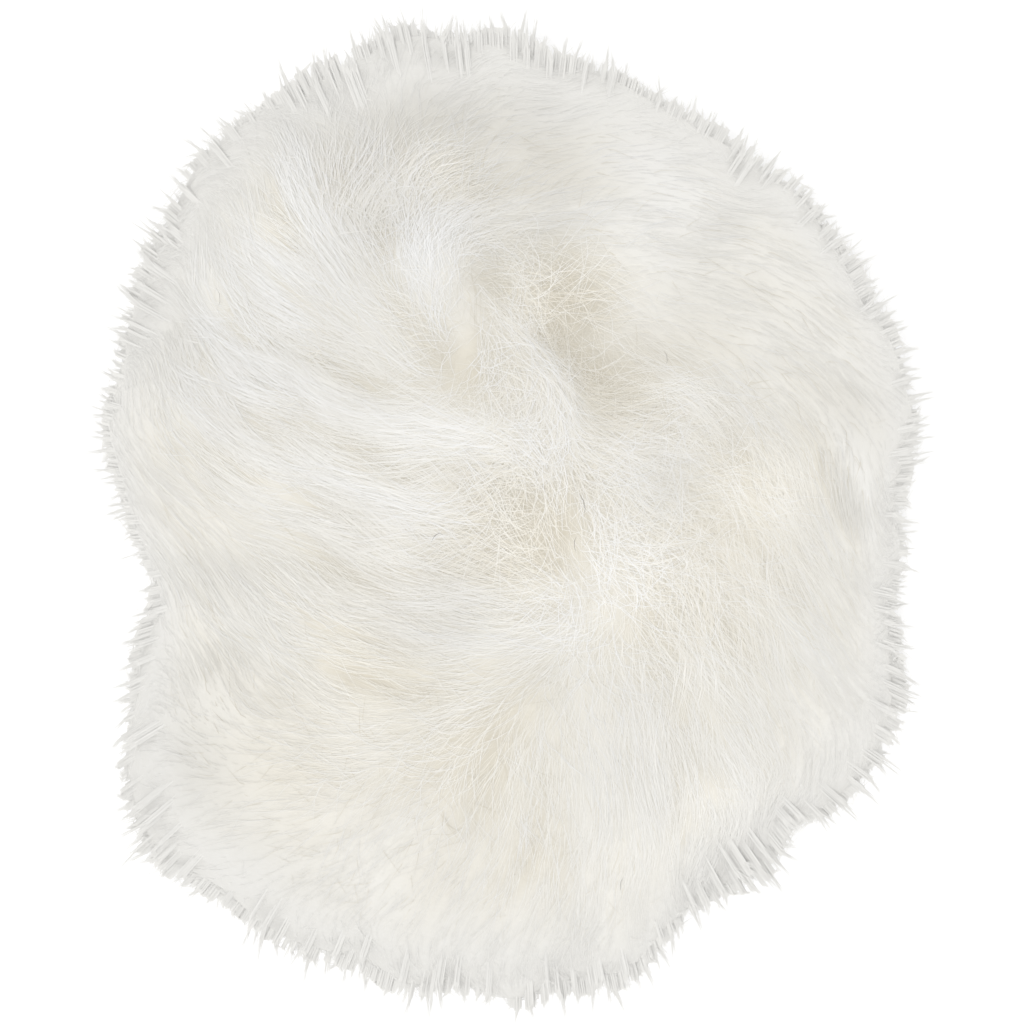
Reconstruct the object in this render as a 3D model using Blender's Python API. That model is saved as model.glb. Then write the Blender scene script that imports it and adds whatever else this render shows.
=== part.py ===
"""A fluffy fur pom pom, lying on a table.

A round of long-pile fur is gathered into a ball, so the whole thing is one soft piece. The
solid reaches as far as the pile does. It has the ball's uneven plan, its crown, the main
locks and hollows that the combed pile makes on top, softer locks round its sides and a small
flat spot underneath. Plan sizes are in millimetres from the ball's middle, with +X to the
right and +Y away, and the mesh is in metres.
"""

import math
from collections import namedtuple

import bmesh
import bpy
from mathutils import Vector

MM = 0.001

# Driving sizes of the ball
HEIGHT = 92.0 * MM               # flat spot to the top of the pile
GIRTH_HEIGHT = 43.0 * MM         # level of the widest part
FLAT_SPOT_CUT = 1.3 * MM         # how much of the round underside the flat spot takes away
FLAT_SPOT_SNAP = 0.5 * MM        # points this close to the cut are laid on it first
ROUNDNESS = 0.92                 # below 1 the shoulders are fuller than an ellipsoid's
SPHERE_SUBDIVISIONS = 5          # an icosphere of 5120 triangles

# Plan outline: how far the tips of the pile reach in each direction from the middle
Reach = namedtuple("Reach", "bearing_deg reach_mm")
OUTLINE = (
    Reach(0, 49.0),
    Reach(15, 51.0),
    Reach(45, 53.0),
    Reach(70, 54.5),
    Reach(90, 58.5),
    Reach(110, 60.0),
    Reach(130, 58.5),
    Reach(150, 54.5),
    Reach(170, 51.0),
    Reach(188, 46.5),
    Reach(205, 53.0),
    Reach(222, 61.0),
    Reach(240, 61.0),
    Reach(262, 60.5),
    Reach(280, 60.0),
    Reach(294, 54.5),
    Reach(325, 54.5),
    Reach(348, 49.0),
)

# Locks and hollows of the upper side, each a soft ridge along a bent stroke in plan.
# A positive rise is a lock that stands proud, a negative one is a parting or a hollow.
Lock = namedtuple("Lock", "start bend end half_width_mm rise_mm")
UPPER_LOCKS = (
    # the curl at the crown and the hollow beside it
    Lock((-6, 26), (6, 20), (6, 8), 3.5, 2.6),
    Lock((1, 24), (9, 20), (13, 14), 5.0, -4.5),
    Lock((10, 17), (11, 12), (9, 6), 4.0, -2.5),
    Lock((0, 5), (2, 0), (5, -6), 4.5, -2.2),
    Lock((-8, 24), (-10, 30), (-9, 37), 4.5, 2.2),
    Lock((-9, 39), (-5, 39), (0, 37), 5.0, -2.2),
    # long locks combed up and to the left
    Lock((-11, 18), (-22, 27), (-29, 45), 7.0, 2.4),
    Lock((-22, 20), (-33, 25), (-39, 35), 5.0, 1.8),
    Lock((-8, 17), (-14, 28), (-25, 50), 3.5, -1.8),
    Lock((-11, 16), (-26, 13), (-42, 23), 3.5, -2.2),
    # long locks combed to the left
    Lock((0, 2), (-18, 7), (-47, 11), 7.0, 2.6),
    Lock((-4, -15), (-20, -8), (-44, -8), 7.0, 1.8),
    Lock((-8, -22), (-22, -18), (-44, -19), 4.0, -1.8),
    Lock((-14, -27), (-30, -31), (-46, -29), 5.0, -1.4),
    # the fan that falls towards the front
    Lock((-8, -27), (-13, -40), (-22, -54), 8.0, 2.0),
    Lock((2, -24), (1, -36), (2, -48), 4.5, -1.6),
    Lock((10, -18), (12, -32), (14, -52), 7.0, 2.2),
    Lock((19, -24), (22, -34), (27, -46), 4.0, -1.8),
    # locks that fall to the right
    Lock((16, -13), (10, -13), (4, -11), 4.5, 1.6),
    Lock((22, 10), (22, 5), (24, 0), 4.0, -2.2),
    Lock((24, -8), (31, -18), (38, -32), 3.5, -1.6),
    Lock((24, 14), (33, 8), (42, -4), 5.5, 1.8),
    Lock((30, 12), (37, 5), (44, -8), 3.0, -1.4),
    Lock((4, 34), (22, 31), (42, 21), 8.0, 2.0),
)
STROKE_STEPS = 12                # straight pieces that a bent stroke is measured along

# Softer locks round the sides and underneath
SIDE_LOCKS = 13                  # count round the girth
SIDE_LOCK_RISE = 1.3 * MM
SIDE_LOCK_SWEEP = 1.9            # how far a lock drifts round the ball from top to bottom, rad
CROSS_LOCKS = 7                  # a second, coarser set that breaks the first one's rhythm

FUR_COLOUR = (0.83, 0.81, 0.76, 1.0)
FUR_ROUGHNESS = 0.85


def outline_reach(bearing):
    """Reach of the pile in metres at a bearing in radians, on a closed smooth curve."""
    degrees = math.degrees(bearing) % 360.0
    count = len(OUTLINE)
    index = 0
    while index < count - 1 and OUTLINE[index + 1].bearing_deg <= degrees:
        index += 1
    here, after = OUTLINE[index], OUTLINE[(index + 1) % count]
    span = (after.bearing_deg - here.bearing_deg) % 360.0
    t = (degrees - here.bearing_deg) / span
    before = OUTLINE[index - 1].reach_mm
    beyond = OUTLINE[(index + 2) % count].reach_mm
    slope_in = 0.5 * (after.reach_mm - before)
    slope_out = 0.5 * (beyond - here.reach_mm)
    t2, t3 = t * t, t * t * t
    reach_mm = ((2 * t3 - 3 * t2 + 1) * here.reach_mm + (t3 - 2 * t2 + t) * slope_in
                + (3 * t2 - 2 * t3) * after.reach_mm + (t3 - t2) * slope_out)
    return reach_mm * MM


def mean_reach():
    """Average reach of the plan outline, for the round crown and underside."""
    bearings = range(0, 360, 10)
    return sum(outline_reach(math.radians(b)) for b in bearings) / len(bearings)


def smooth_step(low, high, value):
    """0 below low, 1 above high and an even S between them."""
    t = min(1.0, max(0.0, (value - low) / (high - low)))
    return t * t * (3.0 - 2.0 * t)


def stroke_points(lock):
    """Points along a lock's bent stroke in plan, in metres."""
    start, bend, end = (Vector(point) * MM for point in (lock.start, lock.bend, lock.end))
    for step in range(STROKE_STEPS + 1):
        t = step / STROKE_STEPS
        yield start * (1 - t) ** 2 + bend * (2 * t * (1 - t)) + end * t * t


STROKES = [(lock, list(stroke_points(lock))) for lock in UPPER_LOCKS]


def upper_rise(x, y):
    """Sum of the upper locks and hollows at a place in plan, in metres."""
    place = Vector((x, y))
    total = 0.0
    for lock, points in STROKES:
        nearest = min((place - point).length for point in points)
        total += lock.rise_mm * MM * math.exp(-(nearest / (lock.half_width_mm * MM)) ** 2)
    return total


def side_rise(bearing, elevation):
    """Height of the softer locks round the sides, in metres."""
    drift = SIDE_LOCK_SWEEP * math.sin(elevation)
    fine = math.cos(SIDE_LOCKS * bearing + 3.0 * drift)
    coarse = math.cos(CROSS_LOCKS * bearing - 2.0 * drift + 1.0)
    return SIDE_LOCK_RISE * (0.6 * fine + 0.4 * coarse) * math.cos(elevation)


def shape_point(direction, round_reach):
    """Where a point of the unit sphere lies on the pom pom's surface."""
    bearing = math.atan2(direction.y, direction.x)
    elevation = math.asin(max(-1.0, min(1.0, direction.z)))
    girth_weight = smooth_step(0.0, 0.55, math.cos(elevation))
    reach = round_reach + (outline_reach(bearing) - round_reach) * girth_weight
    across = reach * math.cos(elevation) ** ROUNDNESS
    half_height = HEIGHT - GIRTH_HEIGHT if direction.z > 0 else GIRTH_HEIGHT + FLAT_SPOT_CUT
    up = half_height * math.copysign(abs(math.sin(elevation)) ** ROUNDNESS, direction.z)
    point = Vector((across * math.cos(bearing), across * math.sin(bearing), up))
    top_weight = smooth_step(0.05, 0.45, direction.z)
    side_weight = (1.0 - top_weight) * smooth_step(-0.95, -0.6, direction.z)
    rise = top_weight * upper_rise(point.x, point.y)
    rise += side_weight * side_rise(bearing, elevation)
    return point + direction * rise


def add_flat_spot(ball):
    """Cut the underside level at z = 0 and close the cut with one face."""
    for vert in ball.verts:
        if abs(vert.co.z) < FLAT_SPOT_SNAP:
            vert.co.z = 0.0
    geometry = ball.verts[:] + ball.edges[:] + ball.faces[:]
    cut = bmesh.ops.bisect_plane(ball, geom=geometry, plane_co=(0, 0, 0), plane_no=(0, 0, -1),
                                 clear_outer=True, dist=1e-7)
    rim = [item for item in cut["geom_cut"] if isinstance(item, bmesh.types.BMEdge)]
    bmesh.ops.contextual_create(ball, geom=rim)


def settle_in_frame(ball):
    """Scale and move the ball so that its box is centred and as high as stated."""
    low_x, high_x = min(v.co.x for v in ball.verts), max(v.co.x for v in ball.verts)
    low_y, high_y = min(v.co.y for v in ball.verts), max(v.co.y for v in ball.verts)
    top = max(v.co.z for v in ball.verts)
    for vert in ball.verts:
        vert.co.x -= 0.5 * (low_x + high_x)
        vert.co.y -= 0.5 * (low_y + high_y)
        vert.co.z *= HEIGHT / top


def fur_material():
    """Plain off-white pile."""
    material = bpy.data.materials.new("fur")
    material.use_nodes = True
    shader = material.node_tree.nodes["Principled BSDF"]
    shader.inputs["Base Color"].default_value = FUR_COLOUR
    shader.inputs["Roughness"].default_value = FUR_ROUGHNESS
    shader.inputs["Metallic"].default_value = 0.0
    return material


def make_fur_ball():
    """The pom pom: a sphere pushed out to the pile's reach, locks and hollows."""
    ball = bmesh.new()
    bmesh.ops.create_icosphere(ball, subdivisions=SPHERE_SUBDIVISIONS, radius=1.0)
    round_reach = mean_reach()
    for vert in ball.verts:
        vert.co = shape_point(vert.co.normalized(), round_reach)
        vert.co.z += GIRTH_HEIGHT
    add_flat_spot(ball)
    settle_in_frame(ball)
    bmesh.ops.recalc_face_normals(ball, faces=ball.faces)
    mesh = bpy.data.meshes.new("fur_ball")
    ball.to_mesh(mesh)
    ball.free()
    mesh.shade_smooth()
    mesh.materials.append(fur_material())
    obj = bpy.data.objects.new("fur_ball", mesh)
    bpy.context.collection.objects.link(obj)


def main():
    for old in list(bpy.data.objects):
        bpy.data.objects.remove(old, do_unlink=True)
    make_fur_ball()


main()
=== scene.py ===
"""The looks of a fluffy fur pom pom that lies on a pale table, seen from above.

The pile is made as a furrier would see it: a bed of short dense fibre, locks combed over it
along a chart of bent strokes, pointed tufts round the edge, and looser hairs on the sides and
the underside. Plan sizes are in millimetres from the ball's middle, +X right and +Y away, and
meshes are in metres. Rays are unit vectors from the ball's heart.
"""

import math
from collections import namedtuple

import bmesh
import bpy
import numpy as np
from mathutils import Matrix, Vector
from mathutils.bvhtree import BVHTree


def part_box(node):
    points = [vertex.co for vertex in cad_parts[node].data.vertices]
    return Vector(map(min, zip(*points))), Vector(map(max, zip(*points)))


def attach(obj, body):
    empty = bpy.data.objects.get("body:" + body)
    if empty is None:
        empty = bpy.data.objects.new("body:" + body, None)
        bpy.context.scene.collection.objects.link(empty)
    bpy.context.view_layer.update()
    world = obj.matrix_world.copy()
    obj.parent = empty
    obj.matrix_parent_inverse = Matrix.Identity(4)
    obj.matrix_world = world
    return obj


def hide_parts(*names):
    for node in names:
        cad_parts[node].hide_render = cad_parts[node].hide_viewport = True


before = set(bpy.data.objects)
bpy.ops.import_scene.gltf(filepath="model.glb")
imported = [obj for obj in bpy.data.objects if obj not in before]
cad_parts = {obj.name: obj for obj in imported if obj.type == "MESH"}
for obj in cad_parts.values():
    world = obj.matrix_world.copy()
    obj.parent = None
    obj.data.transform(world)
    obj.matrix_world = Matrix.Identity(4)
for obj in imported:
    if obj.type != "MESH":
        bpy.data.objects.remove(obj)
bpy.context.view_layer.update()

MM = 0.001
SEED = 20


def table(kind, rows):
    """Rows of numbers under the names of their columns."""
    return [kind(*row) for row in rows]


# ---------------- the ball's form

BALL_LOW, BALL_HIGH = (np.array(corner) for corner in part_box("fur_ball"))
BALL_SIZE = BALL_HIGH - BALL_LOW
GIRTH_SHARE = 0.467  # level of the widest part, of the height
HEART = np.array([0.0, 0.0, BALL_LOW[2] + GIRTH_SHARE * BALL_SIZE[2]])

REACH_ROWS, REACH_COLUMNS = 181, 361  # elevations and bearings of the reach map
REACH_BLUR = 3  # passes that melt the solid's flat facets

# Where the pile's outline bulges past the solid's (+) or falls short of it (-), round the girth
Bulge = namedtuple("Bulge", "bearing_deg half_width_deg shift_mm")
BULGES = table(Bulge, (
    (0, 7, -1.6), (30, 7, -2.2), (42, 4, -0.6), (53, 9, -2.3), (84, 6, -2.0), (108, 10, -1.3),
    (129, 6, -1.2), (140, 6, -2.0), (160, 9, -1.8), (181, 5, 1.5), (195, 9, -2.8), (221, 6, 0.7),
    (250, 5, -2.0), (262, 4, 0.5), (287, 6, 1.2), (310, 5, -2.0), (349, 6, -1.2),
))

LOBE_GRAIN, LOBE_SEED = 6.0 * MM, 3  # width of the outline's soft lobes
LOBE_RISE = 0.9  # mm that they stand out or in
OUTLINE_FADE = 3  # how fast bulges and lobes fade away from the girth
GIRTH_RADIUS = 54.0 * MM

# A round patch of the upper side: where, how far it reaches, and how much of something it has
Patch = namedtuple("Patch", "x_mm y_mm reach_mm amount shade", defaults=(0.0,))
# Dips (-) and swells (+) of the whole pile, in millimetres
SWELLS = table(Patch, (
    (8, 24, 5.5, -3.0), (11, 15, 5.5, -3.0), (3, 1, 4.0, -1.2), (-8, 30, 4.5, 1.2),
    (2, 19, 2.5, 0.8), (6, 14, 2.5, 1.2),
))

BED_DEPTH = 0.923  # the bed's surface, as a share of the ball's reach
CALM_RISE = 0.028  # how much higher it lies where the pile is calm,
RIM_RISE = 0.014  # where it turns over,
EDGE_RISE = 0.004  # and at the girth itself
EDGE_LEVELS = (0.35, 0.10, -0.1, -0.4)
TANGLE_DROP = 0.020  # how much lower it lies under the tangles


def unit(vectors):
    """Each row scaled to length one."""
    return vectors / np.maximum(np.linalg.norm(vectors, axis=-1, keepdims=True), 1e-12)


def ray_at(bearing, elevation):
    """Rays with these bearings and elevations, in radians."""
    flat = np.cos(elevation)
    return np.stack([flat * np.cos(bearing), flat * np.sin(bearing), np.sin(elevation)], axis=-1)


def smooth_step(low, high, value):
    """0 below low, 1 above high and an even S between them."""
    t = np.clip((value - low) / (high - low), 0.0, 1.0)
    return t * t * (3.0 - 2.0 * t)


def band(ends, level):
    """1 on a band round the ball, down to 0 above and below it; its ends run downwards."""
    top, full_from, full_to, foot = ends
    return smooth_step(top, full_from, level) * smooth_step(foot, full_to, level)


def between(ends, part):
    """The value that lies this part of the way from the first end to the second."""
    low, high = ends
    return low + (high - low) * part


def lattice_value(cells, seed):
    """A repeatable random value from -1 to 1 for each cell."""
    mixed = cells[..., 0] * 73856093 ^ cells[..., 1] * 19349663 ^ cells[..., 2] * 83492791
    mixed = (mixed + seed * 2654435) & 0x7FFFFFFF
    mixed = (mixed ^ (mixed >> 13)) * 1274126177 & 0x7FFFFFFF
    mixed = (mixed ^ (mixed >> 16)) & 0xFFFF
    return mixed / 32767.5 - 1.0


def soft_noise(points, grain, seed):
    """Smooth noise from -1 to 1 with lumps about a grain across."""
    scaled = points / grain
    cell = np.floor(scaled).astype(np.int64)
    part = scaled - cell
    part = part * part * (3.0 - 2.0 * part)
    total = np.zeros(points.shape[:-1])
    for corner in np.ndindex(2, 2, 2):
        share = np.prod(np.where(corner, part, 1.0 - part), axis=-1)
        total += share * lattice_value(cell + np.array(corner), seed)
    return total


def map_axes():
    """Elevation of each row and bearing of each column of the reach map."""
    return (np.linspace(-math.pi / 2, math.pi / 2, REACH_ROWS)[:, None],
            np.linspace(-math.pi, math.pi, REACH_COLUMNS)[None])


def measure_reach():
    """How far the solid ball reaches from its heart, by elevation row and bearing column."""
    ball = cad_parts["fur_ball"]
    tree = BVHTree.FromObject(ball, bpy.context.evaluated_depsgraph_get())
    elevation, bearing = np.broadcast_arrays(*map_axes())
    reach = np.array([[tree.ray_cast(HEART, ray)[3] for ray in row]
                      for row in ray_at(bearing, elevation)])
    for _ in range(REACH_BLUR):
        ring = np.roll(reach[:, :-1], 1, axis=1) + np.roll(reach[:, :-1], -1, axis=1)
        reach[:, :-1] = 0.5 * reach[:, :-1] + 0.25 * ring
        reach[:, -1] = reach[:, 0]
        reach[1:-1] = 0.5 * reach[1:-1] + 0.25 * (reach[2:] + reach[:-2])
    return reach


def shaped(reach):
    """The reach with the outline's bulges and the upper side's dips and swells put in."""
    elevation, bearing = map_axes()
    shift = np.zeros(reach.shape)
    girth = np.cos(elevation) ** OUTLINE_FADE
    for bulge in BULGES:
        gap = (np.degrees(bearing) - bulge.bearing_deg + 180.0) % 360.0 - 180.0
        shift += bulge.shift_mm * np.exp(-(gap / bulge.half_width_deg) ** 2) * girth
    plan_x = reach / MM * np.cos(elevation) * np.cos(bearing)
    plan_y = reach / MM * np.cos(elevation) * np.sin(bearing)
    outline = ray_at(bearing, 0.0 * bearing) * GIRTH_RADIUS
    shift += LOBE_RISE * soft_noise(outline, LOBE_GRAIN, LOBE_SEED) * girth
    for swell in SWELLS:
        gap = np.hypot(plan_x - swell.x_mm, plan_y - swell.y_mm)
        shift += swell.amount * np.exp(-(gap / swell.reach_mm) ** 2) * (elevation > 0)
    return reach + shift * MM


REACH = shaped(measure_reach())[..., None]


def read_grid(grid, row, column):
    """A grid's values at places between its rows and columns."""
    i = np.clip(row.astype(int), 0, grid.shape[0] - 2)
    j = np.clip(column.astype(int), 0, grid.shape[1] - 2)
    u, v = (row - i)[..., None], (column - j)[..., None]
    near = grid[i, j] * (1 - v) + grid[i, j + 1] * v
    far = grid[i + 1, j] * (1 - v) + grid[i + 1, j + 1] * v
    return near * (1 - u) + far * u


def reach_at(rays):
    """How far the ball reaches along each ray."""
    elevation = np.arcsin(np.clip(rays[..., 2], -1.0, 1.0))
    bearing = np.arctan2(rays[..., 1], rays[..., 0])
    row = (elevation / math.pi + 0.5) * (REACH_ROWS - 1)
    column = (bearing / (2 * math.pi) + 0.5) * (REACH_COLUMNS - 1)
    return read_grid(REACH, row, column)[..., 0]


# ---------------- the combing chart

# The pile of the upper side lies along these strokes, roots first, tips last. Their places are
# x and y of the start, of the point that they bend towards and of the end, in millimetres.
Stroke = namedtuple("Stroke", "places reach_mm")
COMB_CHART = table(Stroke, (
    # crown curl
    ((-7, 27, 4, 21, 7, 8), 3.0), ((2, 31, 12, 25, 24, 14), 5.0), ((8, 14, 14, 9, 15, 4), 4.0),
    # upright tuft left of the crown
    ((-8, 20, -11, 30, -5, 42), 4.5),
    # combed up and to the left
    ((-9, 17, -20, 26, -27, 52), 6.0), ((-14, 24, -17, 38, -17, 56), 4.0),
    ((-18, 20, -32, 28, -40, 42), 6.0), ((-10, 15, -28, 15, -46, 32), 5.0),
    ((-4, 8, -22, 7, -48, 24), 6.0), ((-2, 1, -20, -1, -48, 16), 6.0),
    ((0, -6, -16, -7, -46, 4), 6.0), ((2, -13, -16, -14, -46, -2), 6.0),
    ((-2, -20, -18, -21, -46, -12), 5.0), ((-6, -25, -24, -27, -52, -27), 5.0),
    # front left corner and the fan to the front
    ((-14, -28, -30, -34, -50, -50), 7.0), ((-8, -27, -12, -38, -30, -60), 7.0),
    ((-2, -26, -2, -42, -10, -60), 6.0), ((6, -20, 9, -36, 8, -60), 6.0),
    ((12, -20, 18, -36, 24, -56), 6.0),
    # falls to the right and the front right
    ((14, -14, 26, -28, 40, -46), 6.0), ((20, -8, 34, -20, 50, -32), 6.0),
    ((26, -2, 38, -8, 52, -20), 6.0), ((24, 10, 34, 6, 44, -8), 6.0),
    ((28, 14, 40, 12, 54, 2), 6.0), ((25, 12, 27, 4, 29, -4), 3.5), ((12, 4, 17, 2, 24, 2), 4.0),
    # soft right and far sides
    ((16, 24, 30, 22, 54, 24), 7.0), ((8, 32, 24, 34, 46, 42), 7.0), ((0, 36, 12, 42, 28, 56), 7.0),
    ((-6, 38, 0, 46, 8, 60), 6.0),
))
STROKE_STEPS = 8

# Single headings that steer the chart between its strokes, in degrees from +X towards +Y
Spot = namedtuple("Spot", "x_mm y_mm heading_deg")
COMB_SPOTS = table(Spot, (
    (-29, 47, 104), (-20, 48, 100), (-15, 53, 82), (-5.5, 53, 57), (8.6, 51, 43), (-34, 38.5, 125),
    (-24.5, 38, 120), (-15, 38, 95), (-9.7, 33, 85), (-3.8, 39, 55), (10.4, 42.7, 33), (22, 38, 28),
    (33, 38.5, 42), (-38.6, 29, 121), (-27.4, 27.3, 133), (-16.8, 26, 127), (-42.7, 19, 131),
    (-33, 18, 145), (-24, 16.7, 148), (-12, 16, 163), (-42.7, 7.3, 139), (-31, 8.4, 139),
    (-20.3, 8.4, 150), (-8.5, 8.4, 170), (-35.6, -7, 140), (-22.7, -7, 144), (-9.7, -5.7, 158),
    (1, -10.4, 175), (-31, -16.3, 140), (-15.6, -17.5, 156), (-1.4, -21, 190), (-40.4, -26.4, 182),
    (-25, -25.8, 155), (-9.7, -27.6, 180), (-41.5, -37.6, 218), (-28.6, -40, 222),
    (-13.2, -41, 250), (-5, -48.2, 243), (-21.5, -49.4, 226), (3.3, -41, 262), (10.4, -31.7, 273),
    (12.7, -48.2, 270), (21, -31.7, 290), (22.2, -43.5, 287), (18.6, -21, 300), (29.3, -22.2, 307),
    (34, -32.9, 301), (39.9, -19.9, 314), (30.4, -11.6, 308), (39.9, -9.3, 322), (37.5, 1.4, 310),
    (44.6, 7.3, 325), (34, 8.4, 292), (27.5, 9.6, 262), (22.2, 17.9, 318), (12.7, 21.4, 318),
    (4.5, 28.5, 322), (31.6, 23.8, 0), (42.2, 23.8, 5), (17.5, 32, 352), (5.7, 35, 10),
    (1, 19, 312), (6.3, 12, 280), (17.5, -3.4, 5), (15, 9.6, 50), (22, 1.4, 20), (10.4, -12.8, 180),
    (29, -1, 275), (40, 17, 350), (12, -6, 330), (16, -9, 320), (-2, 17, 300), (-4, 14, 290),
    (48, 15, 352), (49, 4, 345), (49, -8, 330), (28, 28, 10), (36, 31, 12),
))
SPOT_REACH, SPOT_PULL = 5.0, 2.0  # mm that a spot steers, and its weight against a stroke's point
FAR_PULL = 1e-3  # what every stroke and spot still weighs far away
CHART_STEP = 1.0  # mm between the chart grid's points
CHART_REACH = 66  # mm covered each way from the middle

# Locks that lie proud of the pile (+) and partings that show the cream fibre below (-), darker
# partly as painted shade
Mark = namedtuple("Mark", "places half_width_mm strength")
LOCK_MARKS = table(Mark, (
    # locks on the left, from the top down
    ((-13, 17, -22, 26, -26, 43), 2.4, 1.0), ((-21.5, 20, -27, 27, -31.5, 36), 1.6, 0.7),
    ((-33, 20, -37, 24, -38, 33), 1.4, 0.6), ((4, 7.5, -11, 8.5, -26, 15), 2.6, 0.9),
    ((-25, 13, -33, 15.5, -43, 17.5), 2.0, 0.7), ((-2.5, -4, -11, 1.5, -21.5, 5), 1.6, 0.6),
    ((-21.5, 3.5, -31, 8.5, -40.5, 13), 2.0, 0.5), ((-14.5, -5.5, -21.5, -1, -28.5, 1.5), 1.3, 0.4),
    ((9, -9.5, -4, -9.5, -14.5, -10.5), 1.5, 0.7), ((12.5, -14, 2, -13.5, -8.5, -15), 2.0, 0.9),
    ((-19, -23, -26, -17.5, -36, -11), 1.5, 0.7), ((-9.5, -30, -18, -27.5, -26, -24), 1.5, 0.4),
    ((-1.5, -22, -7.5, -24, -13, -23), 1.2, 0.5),
    # tuft, crown band and the curl beside the hollow
    ((-7.5, 24.5, -9.5, 31, -11.5, 38), 2.8, 1.0), ((-6.5, 35, 5.5, 38, 16.5, 29), 1.3, 0.7),
    ((-6, 24.5, 4, 21, 7, 11), 1.6, 1.0), ((7, 12, 7, 7.5, 4, 3.5), 1.4, 0.7),
    # right of the hollow
    ((11.5, 26.5, 16.5, 21.5, 19, 14.5), 1.4, 0.7), ((19, 14.5, 24.5, 13.5, 30.5, 15), 1.3, 0.6),
    ((27.5, 13, 28.5, 7.5, 27.5, 1), 1.8, 0.7), ((24.5, 1.5, 31.5, 2.5, 37.5, -1), 1.5, 0.5),
    ((37.5, 11, 40.5, 5, 44, -1), 1.5, 0.5), ((15, 1.5, 11, -3.5, 8, -7.5), 1.3, 0.5),
    ((16.5, -5.5, 22, -3.5, 28, -1), 1.3, 0.5),
    # front fan
    ((21, -13, 24.5, -17.5, 33, -29.5), 1.6, 0.6), ((28, -9.5, 34, -15, 41, -21), 1.6, 0.6),
    ((13.5, -18.5, 11, -27, 10, -37.5), 1.8, 0.5), ((17.5, -20, 16.5, -29.5, 15, -43.5), 1.5, 0.4),
    ((24.5, -27, 29.5, -34, 30.5, -39), 1.8, 0.4), ((10.5, -41, 10.5, -48, 9, -55), 2.0, 0.3),
    # partings round the tuft and the crown
    ((-10.5, 39.5, -6, 38, -1.5, 37.5), 1.6, -1.0),
    ((-1.5, 44.5, 5.5, 42.5, 11.5, 38.5), 2.5, -0.5), ((0.5, 23, 6.5, 19.5, 12, 15), 2.0, -1.2),
    ((8, 13.5, 9, 10, 8, 6.5), 1.3, -0.9), ((-1, 6.5, 0.5, 1.5, 5, -5), 2.4, -1.0),
    ((-2.5, -5.5, -1, -6.5, 1.5, -7), 1.0, -0.6), ((4, 32, 4.5, 28.5, 9, 26), 2.0, -0.7),
    ((-16, 32.5, -15, 28.5, -12.5, 25), 1.3, -0.7), ((-21, 42.5, -19, 39, -17.5, 35.5), 1.2, -0.5),
    # partings on the left
    ((-40, 22, -36, 18, -29, 16), 1.1, -0.7), ((-29.5, 37, -27, 34, -25, 31), 0.7, -0.6),
    ((-29, 24, -25, 18.5, -17.5, 14.5), 1.1, -0.7), ((-29, 9.5, -26, 5.5, -20.5, 2), 1.1, -0.6),
    ((-9.5, 5, -5, 4.5, -1.5, 5.5), 1.0, -0.6), ((-41, -1, -38, -2, -35, -4), 1.3, -0.4),
    ((-25, -2, -20.5, -5.5, -15.5, -9.5), 1.0, -0.5),
    ((-16, -14.5, -13.5, -14.5, -11, -15), 0.8, -0.6), ((-23, -18, -19, -22, -8.5, -22), 1.3, -0.8),
    ((-8.5, -28, -4, -30, -1.5, -34), 3.5, -0.6), ((3.5, -18, 4.5, -18.5, 5.5, -19), 1.2, -0.5),
    # partings right of the hollow and in the front fan
    ((13.5, -9.5, 15.5, -8.5, 18, -9.5), 1.0, -0.6),
    ((25, -9.5, 27, -13.5, 24.5, -18.5), 1.2, -0.6), ((21.5, 10, 23.5, 5, 22, -0.5), 1.5, -0.9),
    ((25, 9.5, 26, 8.5, 26, 7), 1.2, -0.5), ((17, 19, 20.5, 16.5, 24, 15.5), 1.2, -0.7),
    ((22, -5.5, 25, -5, 27.5, -4.5), 1.0, -0.5), ((27, -21, 31, -24, 34.5, -30.5), 1.0, -0.6),
    ((33, -16.5, 34.5, -21, 37, -24.5), 1.0, -0.5), ((20, -27, 19, -34, 21, -43.5), 0.9, -0.6),
    ((24, -40, 25, -43.5, 26.5, -45.5), 0.8, -0.5), ((3.5, -34, 2.5, -41, 0.5, -48), 1.0, -0.5),
    ((6, -39, 6.5, -43.5, 6, -48), 0.8, -0.5), ((36, 9, 37.5, 2.5, 41.5, -3), 1.2, -0.6),
    ((31, -7, 34, -9.5, 38, -12), 1.0, -0.5),
))
MARK_STEP = 0.5  # mm between the points of the marks' grid

# Between these levels the chart gives way to pile that hangs round the sides and sways
CHART_LEVELS = (0.10, 0.60)
SIDE_SWAYS = ((3, 0.35, 0.4), (5, 0.30, 2.1), (8, 0.22, 4.0))  # waves, swing, phase
SWAY_TWIST = 2.0  # how much the waves shift with the level


def along_stroke(places, steps):
    """Points and headings of a bent stroke, start to end."""
    start, bend, end = np.array(places, float).reshape(3, 2)
    t = np.linspace(0.0, 1.0, steps)[:, None]
    points = start * (1 - t) ** 2 + bend * 2 * t * (1 - t) + end * t * t
    return points, unit((bend - start) * (1 - t) + (end - bend) * t)


def plan_axes(step):
    """Plan places of a square grid in millimetres."""
    axis = np.arange(-CHART_REACH, CHART_REACH + step, step)
    return np.stack(np.meshgrid(axis, axis, indexing="ij"), axis=-1)


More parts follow.
